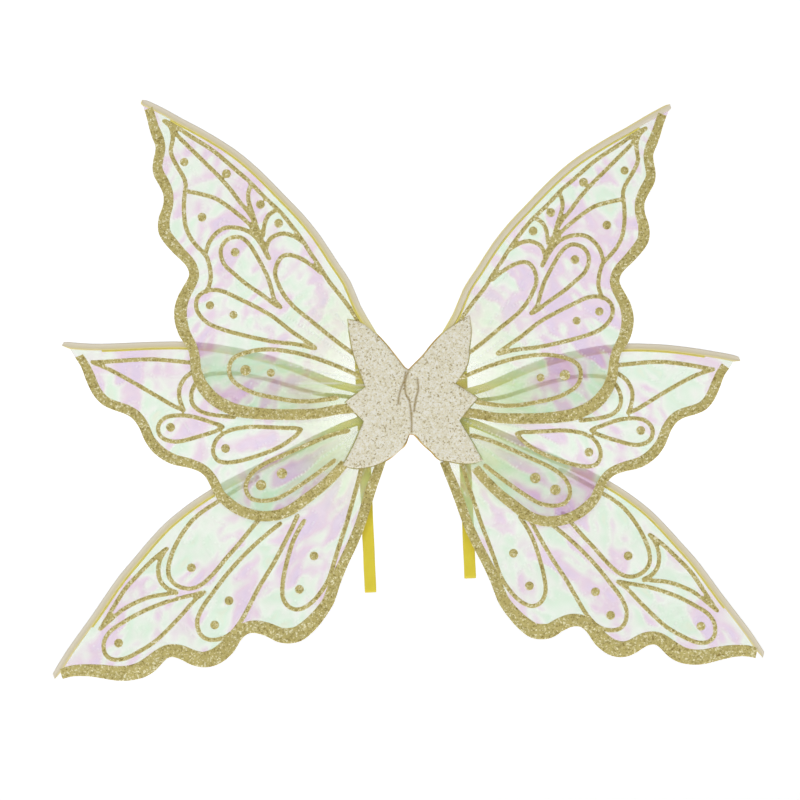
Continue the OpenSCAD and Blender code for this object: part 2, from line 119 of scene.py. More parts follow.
class GlitterSettings(bpy.types.PropertyGroup):
    """The gold glitter printed on the film."""
    grid: length("Grid", "Distance between the points of a glitter line's mesh", 1.3)
    height: length("Height", "How far the glitter stands up from the film", 0.4)
    grain: length("Grain", "Size of one glitter flake", 1.6)
    gold: colour("Gold", "Most of the flakes", 205, 191, 118)
    # Dark gold and light gold are painted shade and painted glints: flakes turned away from the light and
    # flakes that catch it.
    dark: colour("Dark gold", "Flakes turned away", 150, 130, 60)
    light: colour("Light gold", "Flakes that catch the light", 252, 246, 208)


class HemSettings(bpy.types.PropertyGroup):
    """The wired hems along the leading edges."""
    stations: IntProperty(name="Stations", description="Steps along a hem", default=260, min=20)
    across: IntProperty(name="Across", description="Steps across a hem", default=14, min=4)
    pearl: colour("Pearl", "Satin of the hem", 238, 231, 204)
    glow: colour("Glow", "Hem where the yellow parts behind it shine through", 244, 232, 110)
    thread: colour("Thread", "Yellow stitching beside the hem", 255, 240, 112)


class PanelSettings(bpy.types.PropertyGroup):
    """The glitter patch and the felt cover behind it."""
    grid: length("Grid", "Distance between the points of the patch's mesh", 1.5)
    puff: length("Puff", "How far the patch bulges inside its edge", 1.4)
    champagne: colour("Champagne", "Most of the patch's flakes", 244, 237, 206)
    fleck: colour("Fleck", "Dark flakes of the patch", 172, 152, 98)
    felt: colour("Felt", "Golden felt of the back cover", 228, 184, 52)


class StrapSettings(bpy.types.PropertyGroup):
    """The elastic arm straps."""
    ribs: IntProperty(name="Ribs", description="Ribs across the elastic", default=11, min=1)
    yellow: colour("Yellow", "Colour of the elastic", 250, 234, 52)


class StageSettings(bpy.types.PropertyGroup):
    """Camera, light and floor."""
    distance: length("Camera distance", "From the wings to the camera", 2500)
    view_width: length("View width", "Width of the view at the wings", 960)
    floor_drop: length("Floor drop", "How far the floor is below the back panel's centre", 620)


# ---------------------------------------------------------------- outlines of the flat CAD pieces

def outlines(node):
    """The outlines of a flat CAD piece's front face as loops of x, z points, metal on the left."""
    mesh = frame["nodes"][node].data
    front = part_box(node)[0].y
    ahead = {}
    for face in mesh.polygons:
        corners = [mesh.vertices[i].co for i in face.vertices]
        if max(abs(c.y - front) for c in corners) > 1e-5:
            continue
        keys = [(round(c.x, 6), round(c.z, 6)) for c in corners]
        for a, b in zip(keys, keys[1:] + keys[:1]):
            if a in ahead.get(b, ()):
                ahead[b].remove(a)
            else:
                ahead.setdefault(a, []).append(b)
    loops = []
    for start in ahead:
        while ahead[start]:
            loop, here = [], start
            while True:
                loop.append(here)
                here = ahead[here].pop()
                if here == start:
                    break
            loops.append(np.array(loop))
    return [loop for loop in loops if len(loop) > 2]


def thinned(loop, least):
    """The loop without points that crowd the one before, corners kept."""
    kept = [loop[0]]
    for point in loop[1:]:
        if np.linalg.norm(point - kept[-1]) > least:
            kept.append(point)
    return np.array(kept)


def rounded(loop, step, corner=50):
    """A finer outline through a loop's points: smooth, but sharp where it turns by over corner degrees."""
    p = thinned(loop, step / 3)
    ahead = np.roll(p, -1, 0) - p
    reach = np.linalg.norm(ahead, axis=1)[:, None]
    unit = ahead / reach
    unit_before, reach_before = np.roll(unit, 1, 0), np.roll(reach, 1, 0)
    sharp = (unit * unit_before).sum(1) < math.cos(math.radians(corner))
    tangent = unit_before * reach + unit * reach_before
    tangent /= np.maximum(np.linalg.norm(tangent, axis=1)[:, None], 1e-12)
    fine = []
    for i in range(len(p)):
        j = (i + 1) % len(p)
        start = unit[i] if sharp[i] else tangent[i]
        end = unit[i] if sharp[j] else tangent[j]
        steps = max(1, round(reach[i, 0] / step))
        for k in range(steps):
            t = k / steps
            fine.append((1 + 2 * t) * (1 - t) ** 2 * p[i] + t * (1 - t) ** 2 * reach[i] * start
                        + t * t * (3 - 2 * t) * p[j] - t * t * (1 - t) * reach[i] * end)
    return np.array(fine)


def inside(points, loops):
    """Which of the points lie inside the outlines, with their holes left out."""
    a = np.concatenate(loops)
    b = np.concatenate([np.roll(loop, -1, 0) for loop in loops])
    slope = (b[:, 0] - a[:, 0]) / np.where(b[:, 1] == a[:, 1], 1, b[:, 1] - a[:, 1])
    found = np.zeros(len(points), bool)
    chunk = 1500
    for first in range(0, len(points), chunk):
        p = points[first:first + chunk, None]
        spans = (a[:, 1] > p[..., 1]) != (b[:, 1] > p[..., 1])
        left_of = p[..., 0] < a[:, 0] + (p[..., 1] - a[:, 1]) * slope
        found[first:first + chunk] = (spans & left_of).sum(1) % 2 == 1
    return found


def tree_of(points):
    tree = KDTree(len(points))
    for i, (x, z) in enumerate(points):
        tree.insert((x, z, 0), i)
    tree.balance()
    return tree


def away_from(tree, points):
    """How far each point is from the tree's nearest point."""
    return np.array([tree.find((x, z, 0))[2] for x, z in points])


def triangles(loops, step):
    """Fills the outlines with a fine net: its points, their distance from the edge, and its triangles."""
    rim = np.concatenate(loops)
    low, high = rim.min(0), rim.max(0)
    row_step = step * math.sqrt(3) / 2
    columns = np.arange(low[0], high[0], step)
    grid = np.array([(x + row % 2 * step / 2, low[1] + row * row_step)
                     for row in range(int((high[1] - low[1]) / row_step) + 1) for x in columns])
    grid = grid[inside(grid, loops)]
    rim_tree = tree_of(rim)
    grid = grid[away_from(rim_tree, grid) > 0.6 * step]
    edges, first = [], 0
    for loop in loops:
        count = len(loop)
        edges += [(first + i, first + (i + 1) % count) for i in range(count)]
        first += count
    net = delaunay_2d_cdt([Vector(p) for p in np.concatenate([rim, grid])], edges, [], 0, 1e-7)
    points = np.array([tuple(p) for p in net[0]])
    faces = np.array(net[2])
    faces = faces[inside(points[faces].mean(1), loops)]
    used = np.unique(faces)
    renumber = np.zeros(len(points), int)
    renumber[used] = np.arange(len(used))
    return points[used], away_from(rim_tree, points[used]), renumber[faces]


def rim_edges(faces):
    """The edges that only one triangle uses, each in its triangle's direction."""
    pairs = {(int(f[i]), int(f[(i + 1) % 3])) for f in faces for i in range(3)}
    return [(a, b) for a, b in pairs if (b, a) not in pairs]


# ---------------------------------------------------------------- making and placing pieces

def new_piece(name, points, faces, finish, sharp=40):
    """A shaded mesh object with the one material it is given."""
    mesh = bpy.data.meshes.new(name)
    mesh.from_pydata([tuple(p) for p in points], [], [tuple(map(int, f)) for f in faces])
    mesh.validate()
    mesh.polygons.foreach_set("use_smooth", [True] * len(mesh.polygons))
    mesh.set_sharp_from_angle(angle=math.radians(sharp))
    mesh.materials.append(finish)
    piece = bpy.data.objects.new(name, mesh)
    bpy.context.scene.collection.objects.link(piece)
    return piece


def note(piece, name, values):
    """Stores one number for each point, which a material reads by its name."""
    layer = piece.data.attributes.new(name, "FLOAT", "POINT")
    layer.data.foreach_set("value", np.asarray(values, np.float32))


def sheet_points(points, y):
    return np.column_stack([points[:, 0], y, points[:, 1]])


def plate(name, net, front, back, finish):
    """A closed plate over a filled outline, between its front and back y values."""
    points, _, faces = net
    count = len(points)
    walls = [(b, a, a + count, b + count) for a, b in rim_edges(faces)]
    return new_piece(name, np.concatenate([sheet_points(points, front), sheet_points(points, back)]),
                     [tuple(f) for f in faces] + [tuple(f[::-1] + count) for f in faces] + walls,
                     finish)


def dome(edge_distance, radius):
    """From 0 at an edge to 1 at radius inside it, as a rounded shoulder."""
    part = np.clip(edge_distance / radius, 0, 1)
    return np.sqrt(1 - (1 - part) ** 2)


def ease(value, start, end):
    part = min(max((value - start) / (end - start), 0), 1)
    return part * part * (3 - 2 * part)


def skin(rings, closed_ring=True):
    """Faces that join rows of points, each row with the same number of points, and cap both ends."""
    rows, count = len(rings), len(rings[0])
    faces = []
    for i in range(rows - 1):
        for k in range(count if closed_ring else count - 1):
            m = (k + 1) % count
            faces.append((i * count + k, i * count + m, (i + 1) * count + m, (i + 1) * count + k))
    if closed_ring:
        faces.append(tuple(range(count))[::-1])
        faces.append(tuple((rows - 1) * count + k for k in range(count)))
    return np.concatenate(rings), faces


def along(points, count):
    """A line of count points spread evenly along a line of points."""
    p = np.asarray(points, float)
    way = np.concatenate([[0], np.cumsum(np.linalg.norm(np.diff(p, axis=0), axis=1))])
    at = np.linspace(0, way[-1], count)
    return np.column_stack([np.interp(at, way, p[:, i]) for i in range(p.shape[1])])


def curve(points, step):
    """A smooth open line through the points."""
    p = np.asarray(points, float)
    fine = []
    for i in range(len(p) - 1):
        before, after = p[max(i - 1, 0)], p[min(i + 2, len(p) - 1)]
        a, b = p[i], p[i + 1]
        steps = max(1, round(np.linalg.norm(b - a) / step))
        for k in range(steps):
            t = k / steps
            fine.append(0.5 * (2 * a + (b - before) * t + (2 * before - 5 * a + 4 * b - after) * t * t
                               + (3 * a - before - 3 * b + after) * t ** 3))
    return np.array(fine + [p[-1]])


def tube_rings(line, radius, sides=10):
    """Rings of points round a line in space; radius is one number or one for each point."""
    line = np.asarray(line, float)
    radii = np.broadcast_to(radius, len(line))
    heading = np.gradient(line, axis=0)
    heading /= np.maximum(np.linalg.norm(heading, axis=1)[:, None], 1e-12)
    up = np.array([0.0, 1.0, 0.0]) if abs(heading[0][1]) < 0.9 else np.array([1.0, 0.0, 0.0])
    rings = []
    for point, way, r in zip(line, heading, radii):
        side = np.cross(way, up)
        side /= np.linalg.norm(side)
        up = np.cross(side, way)
        rings.append(np.array([point + r * (math.cos(t) * side + math.sin(t) * up)
                               for t in np.arange(sides) * 2 * math.pi / sides]))
    return rings


def gather(parts):
    """Joins several points and faces pairs into one."""
    points, faces, first = [], [], 0
    for some_points, some_faces in parts:
        points.append(some_points)
        faces += [tuple(i + first for i in f) for f in some_faces]
        first += len(some_points)
    return np.concatenate(points), faces


def stitch(start, end, radius):
    """One thread stitch, a little arch with round ends, between two points on a cloth."""
    start, end = np.asarray(start, float), np.asarray(end, float)
    part = np.linspace(0, 1, 7)[:, None]
    line = start + (end - start) * part
    fat = radius * np.sqrt(np.clip(1 - (2 * part[:, 0] - 1) ** 4, 0.02, 1))
    return skin(tube_rings(line, fat, 6))


# ---------------------------------------------------------------- how the wings lie

class Wing:
    """One wing's place: its planes in y, its pivot, its leading edge, and the way its film is creased."""

    def __init__(self, name):
        self.name = name
        self.number = ALL_WINGS.index(name)
        self.film_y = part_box(f"{name}_film")[0].y
        self.hem_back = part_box(f"{name}_hem")[1].y
        low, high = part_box(f"{name}_wire_eye")
        self.pivot = np.array([(low.x + high.x) / 2, (low.z + high.z) / 2])
        self.outer, self.inner = strip_sides(f"{name}_hem")
        self.edge_tree = tree_of(along(self.inner, 150))

    def lift(self, x, z):
        """How far towards the wearer the wing's film stands at a place."""
        look = bpy.context.scene.fairy_film
        from_hub = math.hypot(x, z)
        bow = look.bow * ease(from_hub, 0.08, 0.5)
        dx, dz = x - self.pivot[0] * 0.4, z - self.pivot[1] * 0.4
        reach, angle = math.hypot(dx, dz), math.atan2(dz, abs(dx))
        shift = 17.3 * self.number
        fan = crease(angle * 5.5 + shift, reach / 0.13, shift) * (1 - 0.75 * ease(reach, 0.08, 0.26))
        fold = crease(x / 0.052 + shift, z / 0.052, 3.1 * shift)
        small = crease(x / 0.017, z / 0.017 + shift, 7.7)
        held = ease(from_hub, 0.035, 0.09)
        free = 0.25 + 0.75 * ease(self.edge_tree.find((x, z, 0))[2], 0, 0.022)
        rise = look.fan_crease * fan + look.fold_crease * fold + look.small_crease * small
        return -bow + held * free * rise

    def lifts(self, points):
        return np.array([self.lift(x, z) for x, z in points])


def crease(u, v, w):
    """Height from -1 to 1 of a crumpled surface: smooth facets that meet in sharp ridges."""
    height = noise.noise(Vector((u, v, w)))
    return 1 - 3.2 * abs(height) if abs(height) < 0.6 else -0.92


def strip_sides(node):
    """A hem's or seam's outer and inner edges, each from its root end to its tip."""
    loop = max(outlines(node), key=len)
    hub_distance = np.linalg.norm(loop, axis=1)
    root = min(range(len(loop)), key=lambda i: hub_distance[i] + hub_distance[(i + 1) % len(loop)])
    turned = np.roll(loop, -(root + 1), 0)
    from_ends = np.linalg.norm(turned - turned[0], axis=1) + np.linalg.norm(turned - turned[-1], axis=1)
    tip = int(np.argmax(from_ends))
    one, other = turned[:tip + 1], turned[tip:][::-1]
    higher = one[len(one) // 2][1] > other[len(other) // 2][1]
    return (one, other) if higher else (other, one)


# ---------------------------------------------------------------- materials

def new_material(name):
    """A node material: its tree, its Principled shader and the material."""
    made = bpy.data.materials.new(f"{name}_finish")
    made.use_nodes = True
    tree = made.node_tree
    return tree, tree.nodes["Principled BSDF"], made


def add(tree, kind, inputs=(), **settings):
    """Adds a shader node. inputs gives each input, by name or number, a value or a node's output."""
    made = tree.nodes.new(kind)
    for key, value in settings.items():
        setattr(made, key, value)
    fill(tree, made, inputs)
    return made


def fill(tree, node, inputs):
    for key, value in dict(inputs).items():
        if isinstance(value, bpy.types.NodeSocket):
            tree.links.new(value, node.inputs[key])
        elif node.inputs[key].type == "RGBA":
            node.inputs[key].default_value = (*value[:3], 1)
        else:
            node.inputs[key].default_value = value


def number(tree, operation, a, b=0.0):
    return add(tree, "ShaderNodeMath", {0: a, 1: b}, operation=operation).outputs[0]


def ramp(tree, factor, stops, interpolation="LINEAR"):
    """A colour for each value of factor, from (place, colour) stops."""
    made = add(tree, "ShaderNodeValToRGB", {"Fac": factor})
    made.color_ramp.interpolation = interpolation
    while len(made.color_ramp.elements) < len(stops):
        made.color_ramp.elements.new(0.5)
    for element, (place, shade) in zip(made.color_ramp.elements, stops):
        element.position = place
        element.color = (*shade, 1)
    return made.outputs["Color"]


def blended(tree, factor, a, b):
    made = add(tree, "ShaderNodeMix", {0: factor}, data_type="RGBA")
    fill(tree, made, {6: a, 7: b})
    return made.outputs[2]


def place(tree):
    return add(tree, "ShaderNodeTexCoord").outputs["Object"]


def stored(tree, name):
    return add(tree, "ShaderNodeAttribute", attribute_name=name).outputs["Fac"]


def mask(tree, name):
    """A stored number as a grey from black at 0 to white at 1."""
    return ramp(tree, stored(tree, name), [(0.0, (0, 0, 0)), (1.0, (1, 1, 1))])


def grains(tree, size):
    """Cells of one size, with two random numbers for each."""
    cells = add(tree, "ShaderNodeTexVoronoi", {"Vector": place(tree), "Scale": 1 / size})
    apart = add(tree, "ShaderNodeSeparateColor", {"Color": cells.outputs["Color"]})
    return apart.outputs[0], apart.outputs[1]


def bump(tree, height, strength, depth):
    made = add(tree, "ShaderNodeBump", {"Height": height, "Strength": strength, "Distance": depth})
    return made.outputs["Normal"]


def film_material():
    """Clear film: its painted iridescent colour follows each facet's slant plus a slow drift, it is painted
    paler on the ridges as a highlight, and near the hub it turns yellow-green, partly the yellow parts seen
    through and partly a painted highlight.
    """
    look = bpy.context.scene.fairy_film
    tree, shader, made = new_material("wing_film")
    drift = add(tree, "ShaderNodeTexNoise", {"Vector": place(tree), "Scale": 12.0, "Detail": 1.0,
                                             "Roughness": 0.3, "Distortion": 1.3}).outputs["Fac"]
    # The slant picks a painted iridescent colour, the reflection a facet tilted that way would show.
    slant = number(tree, "ADD", stored(tree, "slant"),
                   number(tree, "MULTIPLY", number(tree, "SUBTRACT", drift, 0.5), 1.1))
    painted_iridescence = ramp(tree, slant, [(0.05, look.lilac), (0.26, look.pink), (0.47, look.pale),
                             (0.7, look.mint), (0.95, tint(228, 240, 190))])
    # The ridge mark paints the film near-white along the crinkle crests as a highlight, and makes the film
    # hide more there so that highlight shows.
    glare = mask(tree, "ridge")
    # Near the hub the colour turns to shimmer: partly the yellow parts seen through, partly a painted
    # highlight.
    near = mask(tree, "near_hub")
    warmed = blended(tree, near, painted_iridescence, look.shimmer)
    ridge_highlight_cover = number(tree, "MULTIPLY", stored(tree, "ridge"), 0.3)
    fill(tree, shader, {"Base Color": blended(tree, glare, warmed, tint(250, 253, 246)),
                        "Alpha": number(tree, "ADD", stored(tree, "veil"), ridge_highlight_cover),
                        "Roughness": 0.22, "IOR": 1.5,
                        "Coat Weight": 0.6, "Coat Roughness": 0.08, "Sheen Weight": 0.15,
                        "Thin Film Thickness": 380.0, "Thin Film IOR": 1.6})
    fine = add(tree, "ShaderNodeTexNoise", {"Vector": place(tree), "Scale": 420.0, "Detail": 4.0})
    fill(tree, shader, {"Normal": bump(tree, fine.outputs["Fac"], 0.18, 0.0005)})
    return made


def glitter_material(name, flakes, grain, shine):
    """Glitter: flakes of several colours, whose lightest are painted glints and whose dark gold are painted
    shade, each tilted its own way, over a slow change of shade; the crease mark adds painted shade in
    creases and darkens the very edge.
    """
    tree, shader, made = new_material(name)
    shade, tilt = grains(tree, grain)
    coarse, _ = grains(tree, grain * 1.9)
    slow = add(tree, "ShaderNodeTexNoise", {"Vector": place(tree), "Scale": 55.0, "Detail": 2.0})
    fine_share = number(tree, "MULTIPLY", shade, 0.62)
    mixed = number(tree, "ADD", fine_share, number(tree, "MULTIPLY", coarse, 0.3))
    mixed = number(tree, "ADD", mixed, number(tree, "MULTIPLY", slow.outputs["Fac"], 0.16))
    flake = ramp(tree, mixed, flakes)
    # The crease mark paints the flakes darker brown as shade in the patch's pressed creases, and darker
    # along its very edge.
    crease_shade_and_edge = stored(tree, "crease")
    fill(tree, shader, {"Base Color": blended(tree, crease_shade_and_edge, flake, tint(156, 130, 62)),
                        "Metallic": shine,
                        "Roughness": ramp(tree, tilt, [(0, (0.28,) * 3), (1, (0.6,) * 3)]),
                        "Normal": bump(tree, tilt, 0.55, grain * 0.3)})
    return made


def gold_material():
    look = bpy.context.scene.fairy_glitter
    # Dark gold and light gold paint the shade and glints of single flakes.
    return glitter_material("gold_glitter", [(0.12, look.dark), (0.42, look.gold), (0.68, look.gold),
                                             (0.92, look.light)], look.grain, 0.25)


def patch_material():
    look = bpy.context.scene.fairy_panel
    # The palest stop is a painted glint of flakes that catch the light.
    return glitter_material("silver_glitter", [(0.12, look.fleck), (0.36, look.champagne),
                                               (0.6, tint(242, 236, 214)), (0.74, tint(255, 252, 238))],
                            1.5 * MM, 0.1)


def satin_material():
    """Pearly satin: fine lengthwise threads with streaks of painted sheen, painted sheen lighter along the
    outside and darker towards the sewn side, the yellow thread colour at the sewn edge, yellow-green near
    the hub.
    """
    look = bpy.context.scene.fairy_hem
    tree, shader, made = new_material("pearl_hem")
    across = stored(tree, "across")
    # Lengthwise streaks blend in a pale painted sheen.
    sheen_streaks = add(tree, "ShaderNodeTexNoise", {"Vector": add(tree, "ShaderNodeCombineXYZ", {
        0: number(tree, "MULTIPLY", stored(tree, "along"), 26.0),
        1: number(tree, "MULTIPLY", across, 6.0)}).outputs[0], "Scale": 1.0, "Detail": 3.0}).outputs["Fac"]
    # Across the hem: painted sheen, lightest along the outside and darker towards the sewn side, then the
    # yellow thread colour at the sewn edge.
    base = ramp(tree, across, [(0.0, tint(242, 236, 214)), (0.25, look.pearl), (0.62, tint(226, 217, 180)),
                               (0.8, tint(226, 214, 150)), (1.0, look.thread)])
    sheen_streaked = blended(tree, number(tree, "MULTIPLY", sheen_streaks, 0.55), base, tint(238, 222, 208))
    near = mask(tree, "near_hub")
    threads = add(tree, "ShaderNodeTexWave", {"Vector": place(tree), "Scale": 900.0, "Distortion": 2.0})
    fill(tree, shader, {"Base Color": blended(tree, near, sheen_streaked, look.glow),
                        "Roughness": 0.45, "Sheen Weight": 0.4, "Sheen Roughness": 0.4,
                        "Coat Weight": 0.15, "Coat Roughness": 0.3,
                        "Normal": bump(tree, threads.outputs["Fac"], 0.15, 0.0001)})
    return made


def thread_material(name, shade):
    """Twisted thread: fine slanting plies and a little colour change."""
    tree, shader, made = new_material(name)
    plies = add(tree, "ShaderNodeTexWave", {"Vector": place(tree), "Scale": 1400.0, "Distortion": 1.5},
                bands_direction="DIAGONAL")
    change = add(tree, "ShaderNodeTexNoise", {"Vector": place(tree), "Scale": 180.0, "Detail": 3.0})
    darker = tuple(0.72 * c for c in shade)
    fill(tree, shader, {"Base Color": blended(tree, change.outputs["Fac"], darker, tuple(shade)),
                        "Roughness": 0.5, "Sheen Weight": 0.3,
                        "Normal": bump(tree, plies.outputs["Fac"], 0.5, 0.0002)})
    return made


def felt_material():
    """Brushed golden felt: matted fibres over a cloudy base."""
    look = bpy.context.scene.fairy_panel
    tree, shader, made = new_material("golden_felt")
    fibres = add(tree, "ShaderNodeTexNoise", {"Vector": place(tree), "Scale": 1300.0, "Detail": 5.0,
                                              "Distortion": 2.5}).outputs["Fac"]
    clouds = add(tree, "ShaderNodeTexNoise", {"Vector": place(tree), "Scale": 40.0, "Detail": 3.0})
    base = blended(tree, clouds.outputs["Fac"], tuple(0.8 * c for c in look.felt), tuple(look.felt))
    fill(tree, shader, {"Base Color": blended(tree, number(tree, "MULTIPLY", fibres, 0.45), base,
                                              tint(246, 220, 120)),
                        "Roughness": 0.9, "Sheen Weight": 0.6, "Sheen Roughness": 0.5,
                        "Normal": bump(tree, fibres, 0.6, 0.0004)})
    return made


def elastic_material():
    """Braided elastic: small slanting stitches along each rib."""
    look = bpy.context.scene.fairy_strap
    tree, shader, made = new_material("strap_elastic")
    rib_way = add(tree, "ShaderNodeCombineXYZ", {
        0: number(tree, "MULTIPLY", stored(tree, "along"), 900.0),
        1: number(tree, "MULTIPLY", stored(tree, "across"), 22.0)}).outputs[0]
    braid = add(tree, "ShaderNodeTexWave", {"Vector": rib_way, "Scale": 1.0, "Distortion": 1.2,
                                            "Detail": 1.0}, bands_direction="DIAGONAL").outputs["Fac"]
    wear = add(tree, "ShaderNodeTexNoise", {"Vector": place(tree), "Scale": 60.0, "Detail": 4.0})
    base = blended(tree, wear.outputs["Fac"], tint(236, 212, 34), tuple(look.yellow))
    fill(tree, shader, {"Base Color": blended(tree, number(tree, "MULTIPLY", braid, 0.3), base,
                                              tint(236, 220, 90)),
                        "Roughness": 0.55, "Sheen Weight": 0.3,
                        "Normal": bump(tree, braid, 0.4, 0.0002)})
    return made


def steel_material():
    """Drawn steel wire with fine draw marks and a dull haze."""
    tree, shader, made = new_material("steel_wire")
    haze = add(tree, "ShaderNodeTexNoise", {"Vector": place(tree), "Scale": 300.0,
                                            "Detail": 6.0}).outputs["Fac"]
    fill(tree, shader, {"Base Color": ramp(tree, haze, [(0.3, tint(150, 150, 150)),
                                                        (0.7, tint(196, 196, 194))]),
                        "Metallic": 1.0,
                        "Roughness": ramp(tree, haze, [(0.3, (0.25,) * 3), (0.7, (0.45,) * 3)]),
                        "Normal": bump(tree, haze, 0.2, 0.0001)})
    return made


def foam_material():
    """Cream foam with open pores, painted darker inside as shade."""
    tree, shader, made = new_material("core_foam")
    pores = add(tree, "ShaderNodeTexVoronoi", {"Vector": place(tree), "Scale": 900.0})
    # The pores are painted darker as the shade inside them.
    fill(tree, shader, {"Base Color": ramp(tree, pores.outputs["Distance"], [(0.1, tint(206, 190, 128)),
                                                                             (0.6, tint(240, 228, 178))]),
                        "Roughness": 0.9, "Normal": bump(tree, pores.outputs["Distance"], 0.6, 0.0005)})
    return made


def stage_material():
    """Pale matt paper with a faint tooth."""
    tree, shader, made = new_material("pale_paper")
    tooth = add(tree, "ShaderNodeTexNoise", {"Vector": place(tree), "Scale": 60.0, "Detail": 4.0})
    fill(tree, shader, {"Base Color": ramp(tree, tooth.outputs["Fac"], [(0.3, tint(250, 250, 250)),
                                                                        (0.7, tint(254, 254, 254))]),
                        "Roughness": 0.95, "Specular IOR Level": 0.1,
                        "Emission Color": (1.0, 1.0, 1.0), "Emission Strength": 0.4})
    return made


FINISHES = {}


def finish_named(name, maker):
    """The finish of that name, made when it is first asked for."""
    if name not in FINISHES:
        FINISHES[name] = maker()
    return FINISHES[name]


def refinish(node, finish):
    """Gives a CAD piece that keeps its own shape a better finish."""
    materials = frame["nodes"][node].data.materials
    materials.clear()
    materials.append(finish)


# ---------------------------------------------------------------- wings

def make_film(wing):
    """The film of one wing: a single skin whose slant and ridges the material reads."""
    look = bpy.context.scene.fairy_film
    node = f"{wing.name}_film"
    loops = [rounded(loop, look.grid) for loop in outlines(node)]
    points, _, faces = triangles(loops, look.grid)
    surface = sheet_points(points, wing.film_y + wing.lifts(points))
    film = new_piece(f"{wing.name}_wing_film", surface, faces,
                     finish_named("wing_film", film_material), sharp=180)
    reach = 4 * MM
    slope_x = (wing.lifts(points + [reach, 0]) - wing.lifts(points - [reach, 0])) / (2 * reach)
    slope_z = (wing.lifts(points + [0, reach]) - wing.lifts(points - [0, reach])) / (2 * reach)
    lean = 0.8 * slope_x * SIDES[wing.name.split("_")[0]] + 0.6 * slope_z
    # slant: which painted iridescent colour each point gets, from how its facet tilts
    note(film, "slant", 0.46 + 2.6 * lean)
    from_hub = np.linalg.norm(points, axis=1)
    note(film, "veil", [look.cover * (0.5 + 0.5 * ease(r, 0.07, 0.14)) for r in from_hub])
    # near_hub: where the film takes the shimmer colour, partly seen-through yellow and partly painted
    # highlight
    note(film, "near_hub", [0.8 * (1 - ease(r, 0.08, 0.19)) for r in from_hub])
    # ridge: how far a point stands above its neighbours, where the film gets its painted highlight
    reach = 1.2 * MM
    here = wing.lifts(points)
    around = (wing.lifts(points + [reach, 0]) + wing.lifts(points - [reach, 0])
              + wing.lifts(points + [0, reach]) + wing.lifts(points - [0, reach])) / 4
    note(film, "ridge", np.clip((here - around) * 9000 - 0.15, 0, 1))
    return film, points


def glitter_on_film(wing, kind, radius):
    """Printed glitter that follows the film: the broad border, or the thin tracery."""
    look = bpy.context.scene.fairy_glitter
    node = f"{wing.name}_{kind}"
    net = triangles([rounded(loop, look.grid) for loop in outlines(node)], look.grid)
    points, edge, _ = net
    edge_height, flake_height, sunk = 0.1 * MM, 0.12 * MM, 0.22 * MM
    flakes = np.random.RandomState(wing.number + 11).uniform(0, flake_height, len(points))
    lift = wing.film_y + wing.lifts(points)
    front = lift - edge_height - (look.height - edge_height) * dome(edge, radius) - flakes * (edge > 0)
    piece = plate(f"{wing.name}_{kind}_glitter", net, front, lift + sunk,
                  finish_named("gold_glitter", gold_material))
    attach(piece, f"{wing.name}_wing")
    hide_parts(node)
    return piece


def hem_rings(wing, outer, inner, stations, across):
    """Cross-sections of the folded hem: fat round the wire, thin where it is sewn to the film."""
    middle_y = wing.hem_back - HEM_HALF
    sewn_y = wing.film_y + 0.1 * MM
    o, i = along(outer, stations), along(inner, stations)
    rings = []
    for k in range(stations):
        part = k / (stations - 1)
        ring = []
        for side, steps in ((-1, range(across + 1)), (1, range(across - 1, 0, -1))):
            for step in steps:
                u = step / across
                x, z = o[k] + (i[k] - o[k]) * u
                middle = middle_y + (sewn_y - middle_y) * ease(u, 0.5, 1.0)
                bulge = math.sqrt(max(1 - ((u - 0.45) / 0.62) ** 4, 0))
                half = 1.5 * MM * bulge * (1 - 0.75 * ease(u, 0.6, 1))
                half *= min(1, 0.15 + 6 * u) * (1 - 0.5 * ease(part, 0.97, 1.0))
                wrinkle = 0.16 * MM * noise.noise(Vector((part * 70, u * 5, wing.number + side)))
                pucker = 0.1 * MM * math.sin(part * stations * 1.1) * ease(u, 0.55, 0.9)
                ring.append((x, middle + wing.lift(x, z) + side * (half + wrinkle + pucker), z))
        rings.append(np.array(ring))
    return rings


def make_hem(wing):
    look = bpy.context.scene.fairy_hem
    rings = hem_rings(wing, wing.outer, wing.inner, look.stations, look.across)
    points, faces = skin(rings)
    hem = new_piece(f"{wing.name}_wired_hem", points, faces, finish_named("pearl_hem", satin_material),
                    sharp=180)
    around = 2 * look.across
    across = [min(k, around - k) / look.across for k in range(around)]
    note(hem, "across", np.tile(across, look.stations))
    note(hem, "along", np.repeat(np.linspace(0, 1, look.stations), around))
    note(hem, "near_hub", [0.75 * (1 - ease(math.hypot(p[0], p[2]), 0.07, 0.14)) for p in points])
    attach(hem, f"{wing.name}_wing")
    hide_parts(f"{wing.name}_hem")
    return hem


def make_seam(wing):
    """The row of yellow overlock stitches between hem and film."""
    outer, inner = strip_sides(f"{wing.name}_seam")
    pitch, samples, across = 2.0 * MM, 5, 6
    total = np.linalg.norm(np.diff(outer, axis=0), axis=1).sum()
    stations = int(total / pitch) * samples
    o, i = along(outer, stations), along(inner, stations)
    rings = []
    for k in range(stations):
        swell = abs(math.sin(math.pi * k / samples))
        ring = []
        for front, steps in ((1, range(across + 1)), (0, range(across - 1, 0, -1))):
            for step in steps:
                u = step / across
                x, z = o[k] + (i[k] - o[k]) * (u * 1.15 - 0.1)
                rise = 0.15 + (0.25 + 0.22 * swell) * math.sin(math.pi * u) if front else -0.2
                ring.append((x, wing.film_y + wing.lift(x, z) - rise * MM, z))
        rings.append(np.array(ring))
    points, faces = skin(rings)
    shade = tuple(bpy.context.scene.fairy_hem.thread)
    seam = new_piece(f"{wing.name}_stitched_seam", points, faces,
                     finish_named("yellow_seam", lambda: thread_material("yellow_seam", shade)),
                     sharp=180)
    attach(seam, f"{wing.name}_wing")
    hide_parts(f"{wing.name}_seam")
    return seam


